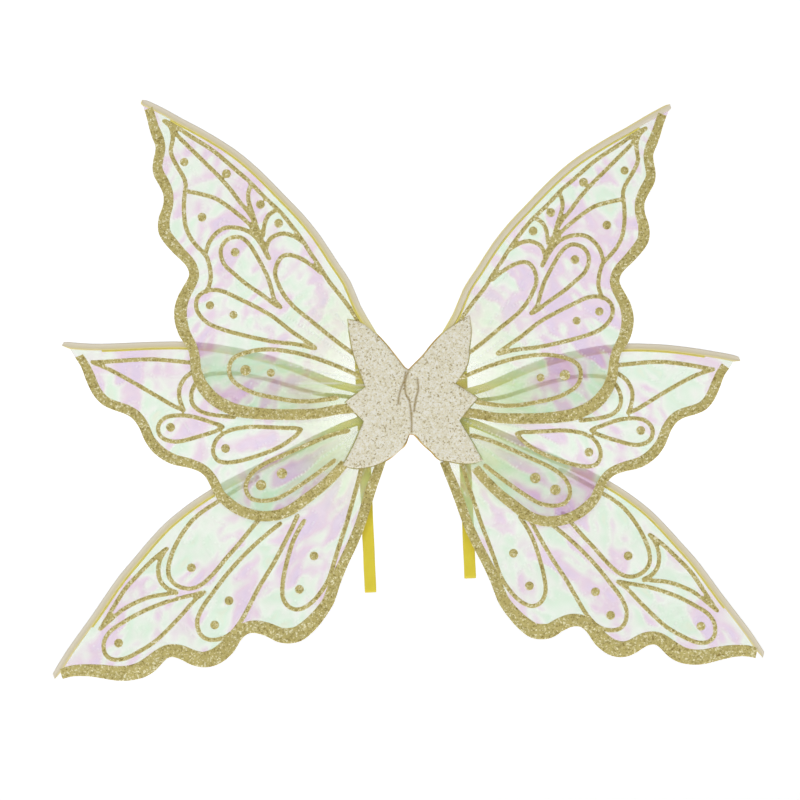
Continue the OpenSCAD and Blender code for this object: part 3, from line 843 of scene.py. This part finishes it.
def make_wire(wing):
    """The steel wire inside the hem, from its eye to just short of the tip."""
    count, wire_share, wire_radius, eye_radius = 160, 0.955, 1.1 * MM, 3.9 * MM
    middle = (along(wing.outer, count) + along(wing.inner, count)) / 2
    middle = middle[:int(count * wire_share)]
    away = middle[0] - wing.pivot
    eye_edge = wing.pivot + away / np.linalg.norm(away) * eye_radius
    route = np.concatenate([along([eye_edge, middle[0]], 6)[:-1], middle])
    y = [wing.hem_back - HEM_HALF + wing.lift(x, z) for x, z in route]
    points, faces = skin(tube_rings(sheet_points(route, y), wire_radius, 12))
    wire = new_piece(f"{wing.name}_hem_wire", points, faces, finish_named("steel_wire", steel_material),
                     sharp=60)
    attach(wire, f"{wing.name}_wing")
    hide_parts(f"{wing.name}_wire")


# ---------------------------------------------------------------- patch and back cover

def half_outline(side, panel_node, centre_node):
    """One half of a panel outline: the side piece's outline carried on over the centre piece to x = 0."""
    sign = SIDES[side]
    loop = outlines(panel_node)[0]
    centre = outlines(centre_node)[0]
    fold = min(abs(loop[:, 0])) + 0.1 * MM
    outside = np.abs(loop[:, 0]) > fold
    start = next(k for k in range(len(loop)) if outside[k] and not outside[k - 1])
    run = [p for p in np.roll(loop, -start, 0) if abs(p[0]) > fold]
    ends = [p for p in loop if abs(p[0]) <= fold]
    top, bottom = max(ends, key=lambda p: p[1]), min(ends, key=lambda p: p[1])
    run = run if run[0][1] > run[-1][1] else run[::-1]

    def centre_points(upper):
        chosen = [p for p in centre if (p[1] > 0) == upper and 0.3 * MM < p[0] * sign < fold - 1 * MM]
        middle = [p for p in centre if (p[1] > 0) == upper]
        middle.sort(key=lambda p: p[0])
        z = np.interp(0, [p[0] for p in middle], [p[1] for p in middle])
        return sorted(chosen, key=lambda p: p[0] * sign), np.array([0, z])
    upper, upper_middle = centre_points(True)
    lower, lower_middle = centre_points(False)
    outline = [upper_middle, *upper, top, *run, bottom, *lower[::-1], lower_middle]
    return np.array(outline if sign < 0 else outline[::-1])


def groove_depth(points, lines, width):
    """From 0 to 1: how deep in one of the pressed creases each point lies."""
    tree = tree_of(np.concatenate([curve(np.array(line) * MM, 0.5 * MM) for line in lines]))
    return np.exp(-(away_from(tree, points) / width) ** 2)


# Creases pressed into the middle of the patch, as x, z points in millimetres from its centre.
PATCH_CREASES = [
    [[-4, 36], [-6, 25], [-10, 15], [-12, 6], [-13, -2]],
    [[-1, 36], [-4, 27], [-5, 21], [-4, 10], [0, 3], [2, -8], [3, -22], [3, -36]],
    [[10, 28], [11, 15], [8, 4], [7, -4], [6, -11]],
]


def make_patch(side):
    """Half of the padded glitter patch, the side piece carried on over the centre piece to the middle."""
    look = bpy.context.scene.fairy_panel
    loop = rounded(half_outline(side, f"patch_{side}", "patch_centre"), look.grid, corner=40)
    net = triangles([loop], look.grid)
    points, _, _ = net
    rim_tree = tree_of(loop[np.abs(loop[:, 0]) > 0.2 * MM])
    edge = away_from(rim_tree, points)
    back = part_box(f"patch_{side}")[1].y - 0.15 * MM
    groove = groove_depth(points, PATCH_CREASES, 1.1 * MM)
    soft = np.array([noise.noise(Vector((x / 0.02, z / 0.02, 5))) for x, z in points])
    flakes = np.random.RandomState(5).uniform(0, 0.16 * MM, len(points))
    front = back - 0.35 * MM - look.puff * dome(edge, 5 * MM) * (0.8 + 0.25 * soft) + 0.75 * MM * groove
    patch = plate(f"{side}_glitter_patch", net, front - flakes * (edge > 0), np.full(len(points), back),
                  finish_named("silver_glitter", patch_material))
    # Painted shade darkens the pressed creases, and the very edge is painted darker too; the material reads
    # both from crease.
    rim = 0.2 * np.clip(1 - edge / (0.9 * MM), 0, 1)
    note(patch, "crease", np.concatenate([np.maximum(groove * 0.95, rim)] * 2))
    cross_fold(patch)
    replaced = (f"patch_{side}", "patch_centre") if side == "left" else (f"patch_{side}",)
    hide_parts(*replaced)


def cross_fold(piece):
    """Bakes the piece's placement into its mesh."""
    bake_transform(piece)


def make_back_cover(side):
    """Half of the felt cover, with the turned wall that closes the padding along both V edges."""
    look = bpy.context.scene.fairy_panel
    step = look.grid * 1.3
    loop = rounded(half_outline(side, f"back_cover_{side}", "back_cover_centre"), step, corner=40)
    net = triangles([loop], step)
    points, _, _ = net
    rim_tree = tree_of(loop[np.abs(loop[:, 0]) > 0.2 * MM])
    edge = away_from(rim_tree, points)
    low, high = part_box(f"back_cover_{side}")
    nap = np.random.RandomState(8).uniform(0, 0.08 * MM, len(points))
    front = low.y + 0.3 * MM * (1 - dome(edge, 2 * MM))
    rear = high.y - 0.25 * MM
    back = rear - 0.45 * MM * (1 - dome(edge, 2.5 * MM)) - nap * (edge > 0)
    cover = plate(f"{side}_back_cover", net, front, back, finish_named("golden_felt", felt_material))
    cross_fold(cover)
    replaced = (f"back_cover_{side}", "back_cover_centre") if side == "left" else (f"back_cover_{side}",)
    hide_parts(*replaced)
    make_cover_wall(side, loop, low.y)
    make_cover_stitches(side, loop, rear)


def make_cover_wall(side, loop, cover_y):
    """The strip of felt that turns forward from the cover to the patch beside the middle of each V."""
    patch_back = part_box(f"patch_{side}")[1].y
    reach = 23 * MM
    parts = []
    for upper in (True, False):
        run = np.array([p for p in loop if (p[1] > 0) == upper and abs(p[0]) < reach
                        and 30 * MM < abs(p[1]) < 75 * MM])
        run = run[np.argsort(np.abs(run[:, 0]))]
        inward = np.array([0, -1 if upper else 1])
        rings = []
        for k, point in enumerate(run):
            ring = []
            for thickness, rows in ((0.5 * MM, range(7)), (1.3 * MM, range(6, -1, -1))):
                for row in rows:
                    t = row / 6
                    y = cover_y + 0.3 * MM + (patch_back - cover_y - 0.3 * MM) * t
                    sag = 0.7 * MM * math.sin(math.pi * t) * (1 + 0.6 * math.sin(k * 1.3))
                    x, z = point + inward * (thickness + sag + 1.2 * MM * t)
                    ring.append((x, y, z))
            rings.append(np.array(ring))
        parts.append(skin(rings))
    points, faces = gather(parts)
    wall = new_piece(f"{side}_cover_wall", points, faces, finish_named("golden_felt", felt_material))
    cross_fold(wall)


def make_cover_stitches(side, loop, cover_y):
    """Running stitches round the cover, set in from its edge."""
    sign = SIDES[side]
    inset, pitch = 3 * MM, 4 * MM
    heading = np.roll(loop, -1, 0) - np.roll(loop, 1, 0)
    inward = np.column_stack([-heading[:, 1], heading[:, 0]])
    inward /= np.linalg.norm(inward, axis=1)[:, None]
    line = loop + inward * inset
    line = np.array([p for p in line if inside(p[None], [loop])[0] and p[0] * sign > 1 * MM])
    line = line[away_from(tree_of(loop), line) > 0.85 * inset]
    parts, last = [], None
    for point in line:
        if last is not None and np.linalg.norm(point - last) < pitch:
            continue
        nearest = line[np.argsort(np.linalg.norm(line - point, axis=1))[2]]
        way = (nearest - point) / max(np.linalg.norm(nearest - point), 1e-9)
        a, b = point, point + way * 2.4 * MM
        parts.append(stitch((a[0], cover_y, a[1]), (b[0], cover_y, b[1]), 0.35 * MM))
        last = point
    points, faces = gather(parts)
    shade = tint(214, 158, 30)
    stitches = new_piece(f"{side}_cover_stitches", points, faces,
                         finish_named("cover_thread", lambda: thread_material("cover_thread", shade)))
    cross_fold(stitches)


# ---------------------------------------------------------------- straps

class Strap:
    """One strap's place: its bar, the way it leans, its two runs and the bottom of its loop."""

    def __init__(self, side):
        joint = next(j for j in frame["joints"] if j["name"] == f"{side}_strap_swing")
        low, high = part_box(f"arm_strap_{side}")
        self.side = side
        self.thick, self.wide = 1.2 * MM, 14 * MM
        self.bar = Vector(joint["pos_m"])
        self.right = Vector(joint["axis"])
        self.up = Vector((-self.right.z, 0, self.right.x))
        self.near = self.bar.y
        self.far = high.y - self.thick / 2
        self.bight = (self.bar.z - low.z - self.wide / 2 * self.right.z) / self.right.x - self.thick / 2
        self.drop = self.bar.z + SEWN_BELOW_MIDDLE

    def point(self, across, y, along_strap):
        p = self.bar + self.right * across + self.up * along_strap
        return (p.x, y, p.z)


def ribbon(strap, path):
    """The elastic swept along a path of y, z points, ribbed lengthwise on both faces."""
    look = bpy.context.scene.fairy_strap
    steps = 4 * look.ribs
    way = np.gradient(path, axis=0)
    way /= np.linalg.norm(way, axis=1)[:, None]
    out = np.column_stack([way[:, 1], -way[:, 0]])
    rings, across, distance = [], [], []
    for k, ((y, z), (oy, oz)) in enumerate(zip(path, out)):
        ring = []
        for face, columns in ((1, range(steps + 1)), (-1, range(steps - 1, 0, -1))):
            for column in columns:
                u = column / steps
                rib = abs(math.sin(math.pi * look.ribs * u))
                edge = min(1, 12 * min(u, 1 - u) + 0.2)
                half = face * (strap.thick / 2 * edge - 0.14 * MM * (1 - rib) * edge)
                wide = strap.wide * (u - 0.5) * (1 - 0.012 * math.sin(k * 0.21))
                ring.append(strap.point(wide, y + oy * half, z + oz * half))
                across.append(u)
        rings.append(np.array(ring))
        distance += [k] * len(ring)
    reach = np.concatenate([[0], np.cumsum(np.linalg.norm(np.diff(path, axis=0), axis=1))])
    points, faces = skin(rings)
    return points, faces, across, reach[np.array(distance)]


def make_strap_piece(strap, name, path):
    points, faces, across, distance = ribbon(strap, path)
    piece = new_piece(name, points, faces, finish_named("strap_elastic", elastic_material),
                      sharp=70)
    note(piece, "across", across)
    note(piece, "along", distance)
    return piece


def make_strap(side):
    """The elastic in two pieces that meet inside the loop: the hanging loop, and the run back up."""
    strap = Strap(side)
    radius = (strap.far - strap.near) / 2
    middle, bottom = strap.near + radius, radius - strap.bight
    wrap = 1.35 * MM
    turn = [[strap.near + wrap * math.cos(t), wrap * math.sin(t)]
            for t in np.radians([230, 200, 170, 140, 110, 80, 50, 20])]
    split = -strap.drop - 122 * MM
    down = [[strap.near - 0.2 * MM, -9 * MM], *turn, [strap.near + 1.5 * MM, -8 * MM],
            [strap.near + 2.4 * MM, -20 * MM], [strap.far - 1 * MM, -46 * MM], [strap.far, -66 * MM],
            [strap.far, -130 * MM], [strap.far, -200 * MM], [strap.far, bottom]]
    arc = [[middle + radius * math.cos(t), bottom + radius * math.sin(t)]
           for t in np.radians([-30, -60, -90, -120, -150])]
    loop_path = curve(down + arc + [[strap.near, bottom], [strap.near, split]], 1.6 * MM)
    loop = make_strap_piece(strap, f"{side}_strap_loop", loop_path)
    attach(loop, f"{side}_strap")
    back = curve([[strap.near, split + 0.05 * MM], [strap.near, -strap.drop - 60 * MM],
                  [strap.near, -strap.drop + 4 * MM]], 1.6 * MM)
    run = make_strap_piece(strap, f"{side}_strap_return", back)
    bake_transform(run)
    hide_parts(f"arm_strap_{side}")
    make_strap_sewing(strap)


def make_strap_sewing(strap):
    """The thread bar that the strap's loop runs on, its end wraps, and the boxed cross at the lower end."""
    parts = []
    bar_half = strap.wide / 2 + 2 * MM
    bar = [strap.point(x, strap.near, 0) for x in np.linspace(-bar_half, bar_half, 9)]
    parts.append(skin(tube_rings(bar, THREAD_BAR, 10)))
    for end in (-1, 1):
        for turn in range(4):
            x = end * (bar_half - (0.35 + 0.55 * turn) * MM)
            hoop = [strap.point(x, strap.near + (0.95 * math.cos(t) - 0.35) * MM, 1.7 * math.sin(t) * MM)
                    for t in np.linspace(-2.6, 2.6, 15)]
            parts.append(skin(tube_rings(hoop, 0.3 * MM, 6)))
    face = strap.near + strap.thick / 2 + 0.02 * MM
    half_w, half_h = strap.wide / 2 - 1.6 * MM, 3.6 * MM
    centre = -strap.drop
    corners = [(-half_w, centre - half_h), (half_w, centre - half_h), (half_w, centre + half_h),
               (-half_w, centre + half_h)]
    lines = [(corners[k], corners[(k + 1) % 4]) for k in range(4)]
    lines += [(corners[0], corners[2]), (corners[1], corners[3])]
    for a, b in lines:
        a, b = np.array(a), np.array(b)
        count = max(2, round(np.linalg.norm(b - a) / (2.1 * MM)))
        for k in range(count):
            start, end = a + (b - a) * k / count, a + (b - a) * (k + 0.82) / count
            parts.append(stitch(strap.point(start[0], face, start[1]), strap.point(end[0], face, end[1]),
                                0.28 * MM))
    points, faces = gather(parts)
    shade = tint(*STITCH_YELLOW)
    sewing = new_piece(f"{strap.side}_strap_stitching", points, faces,
                       finish_named("strap_thread", lambda: thread_material("strap_thread", shade)))
    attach(sewing, f"{strap.side}_panel")
    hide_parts(f"strap_tabs_{strap.side}")


# ---------------------------------------------------------------- stage

def make_stage():
    look = bpy.context.scene.fairy_stage
    make_camera(look)
    make_sweep(look)
    make_lights()


def make_camera(look):
    """A level camera in front of the wings, a little left of their middle."""
    data = bpy.data.cameras.new("front_camera")
    data.sensor_width = 36
    data.lens = data.sensor_width * look.distance / look.view_width
    camera = bpy.data.objects.new("front_camera", data)
    left_of_middle, above_middle = 10.8 * MM, 2.4 * MM
    camera.location = (-left_of_middle, -look.distance, above_middle)
    camera.rotation_euler = (math.pi / 2, 0, 0)
    bpy.context.scene.collection.objects.link(camera)
    bpy.context.scene.camera = camera


def make_sweep(look):
    """A floor that curves up into a wall behind the wings."""
    floor, bend, wall = -look.floor_drop, 0.5, 2.2
    profile = [[-3.2, floor], [wall - bend, floor]]
    profile += [[wall - bend + bend * math.sin(t), floor + bend * (1 - math.cos(t))]
                for t in np.linspace(0.1, math.pi / 2, 12)]
    profile += [[wall, 3.0]]
    rows = [np.array([(x, y, z) for x in np.linspace(-3.5, 3.5, 8)]) for y, z in profile]
    points, faces = skin(rows, closed_ring=False)
    mesh = bpy.data.meshes.new("paper_sweep")
    mesh.from_pydata([tuple(p) for p in points], [], faces)
    mesh.polygons.foreach_set("use_smooth", [True] * len(mesh.polygons))
    mesh.materials.append(stage_material())
    sweep = bpy.data.objects.new("paper_sweep", mesh)
    bpy.context.scene.collection.objects.link(sweep)


def make_lights():
    """A bright even room, and large soft lamps above and to the left."""
    scene = bpy.context.scene
    scene.view_settings.view_transform = "Standard"
    scene.world = bpy.data.worlds.new("studio")
    scene.world.use_nodes = True
    scene.world.node_tree.nodes["Background"].inputs["Color"].default_value = (1, 1, 1, 1)
    scene.world.node_tree.nodes["Background"].inputs["Strength"].default_value = 0.4
    for name, at, size, power in (("key", (-1.3, -2.0, 1.8), 1.0, 17), ("fill", (1.9, -1.6, 0.6), 1.4, 5)):
        lamp = bpy.data.lights.new(f"{name}_light", "AREA")
        lamp.size = size
        lamp.energy = power
        held = bpy.data.objects.new(f"{name}_light", lamp)
        held.location = at
        held.rotation_euler = Vector((-at[0], -at[1], -at[2])).to_track_quat("-Z", "Y").to_euler()
        scene.collection.objects.link(held)


# ---------------------------------------------------------------- operators

class FAIRY_OT_wings(bpy.types.Operator):
    """Make each wing's film with its glitter border, tracery, wired hem, seam and wire"""
    bl_idname = "fairy.wings"
    bl_label = "Make wings"

    def execute(self, context):
        for name in ALL_WINGS:
            wing = Wing(name)
            film, points = make_film(wing)
            trims = [glitter_on_film(wing, "border", 2.2 * MM), glitter_on_film(wing, "tracery", 1.6 * MM),
                     make_hem(wing), make_seam(wing)]
            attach(film, f"{name}_wing")
            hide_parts(f"{name}_film")
            make_wire(wing)
            refinish(f"{name}_wire_eye", finish_named("steel_wire", steel_material))
        return {"FINISHED"}


class FAIRY_OT_panel(bpy.types.Operator):
    """Make the glitter patch and the felt cover, and finish the core and the thread bindings"""
    bl_idname = "fairy.panel"
    bl_label = "Make back panel"

    def execute(self, context):
        for side in SIDES:
            make_patch(side)
            make_back_cover(side)
            refinish(f"binding_{side}", finish_named(
                "binding_thread", lambda: thread_material("binding_thread", tint(*STITCH_YELLOW))))
        refinish("spine_core", foam_material())
        return {"FINISHED"}


class FAIRY_OT_straps(bpy.types.Operator):
    """Make the elastic arm straps and their stitching"""
    bl_idname = "fairy.straps"
    bl_label = "Make arm straps"

    def execute(self, context):
        for side in SIDES:
            make_strap(side)
        return {"FINISHED"}


class FAIRY_OT_stage(bpy.types.Operator):
    """Set up the camera, the pale paper sweep and the soft light"""
    bl_idname = "fairy.stage"
    bl_label = "Set up stage"

    def execute(self, context):
        make_stage()
        return {"FINISHED"}


class FAIRY_PT_sidebar(bpy.types.Panel):
    """Lists the settings and the steps"""
    bl_label = "Fairy Wings"
    bl_idname = "FAIRY_PT_sidebar"
    bl_space_type = "VIEW_3D"
    bl_region_type = "UI"
    bl_category = "Fairy Wings"

    def draw(self, context):
        for step, groups in STEPS.items():
            box = self.layout.box()
            for group in groups:
                settings = getattr(context.scene, group)
                for field in type(settings).__annotations__:
                    box.prop(settings, field)
            box.operator(step)


STEPS = {
    "fairy.stage": ["fairy_stage"],
    "fairy.wings": ["fairy_film", "fairy_glitter", "fairy_hem"],
    "fairy.panel": ["fairy_panel"],
    "fairy.straps": ["fairy_strap"],
}
SETTINGS = {
    "fairy_film": FilmSettings,
    "fairy_glitter": GlitterSettings,
    "fairy_hem": HemSettings,
    "fairy_panel": PanelSettings,
    "fairy_strap": StrapSettings,
    "fairy_stage": StageSettings,
}
CLASSES = [*SETTINGS.values(), FAIRY_OT_wings, FAIRY_OT_panel, FAIRY_OT_straps, FAIRY_OT_stage,
           FAIRY_PT_sidebar]


def register():
    for kind in CLASSES:
        bpy.utils.register_class(kind)
    for name, kind in SETTINGS.items():
        setattr(bpy.types.Scene, name, PointerProperty(type=kind))


def unregister():
    for name in SETTINGS:
        delattr(bpy.types.Scene, name)
    for kind in reversed(CLASSES):
        bpy.utils.unregister_class(kind)


def main():
    register()
    bpy.ops.fairy.stage()
    bpy.ops.fairy.wings()
    bpy.ops.fairy.panel()
    bpy.ops.fairy.straps()


if __name__ == "__main__":
    main()
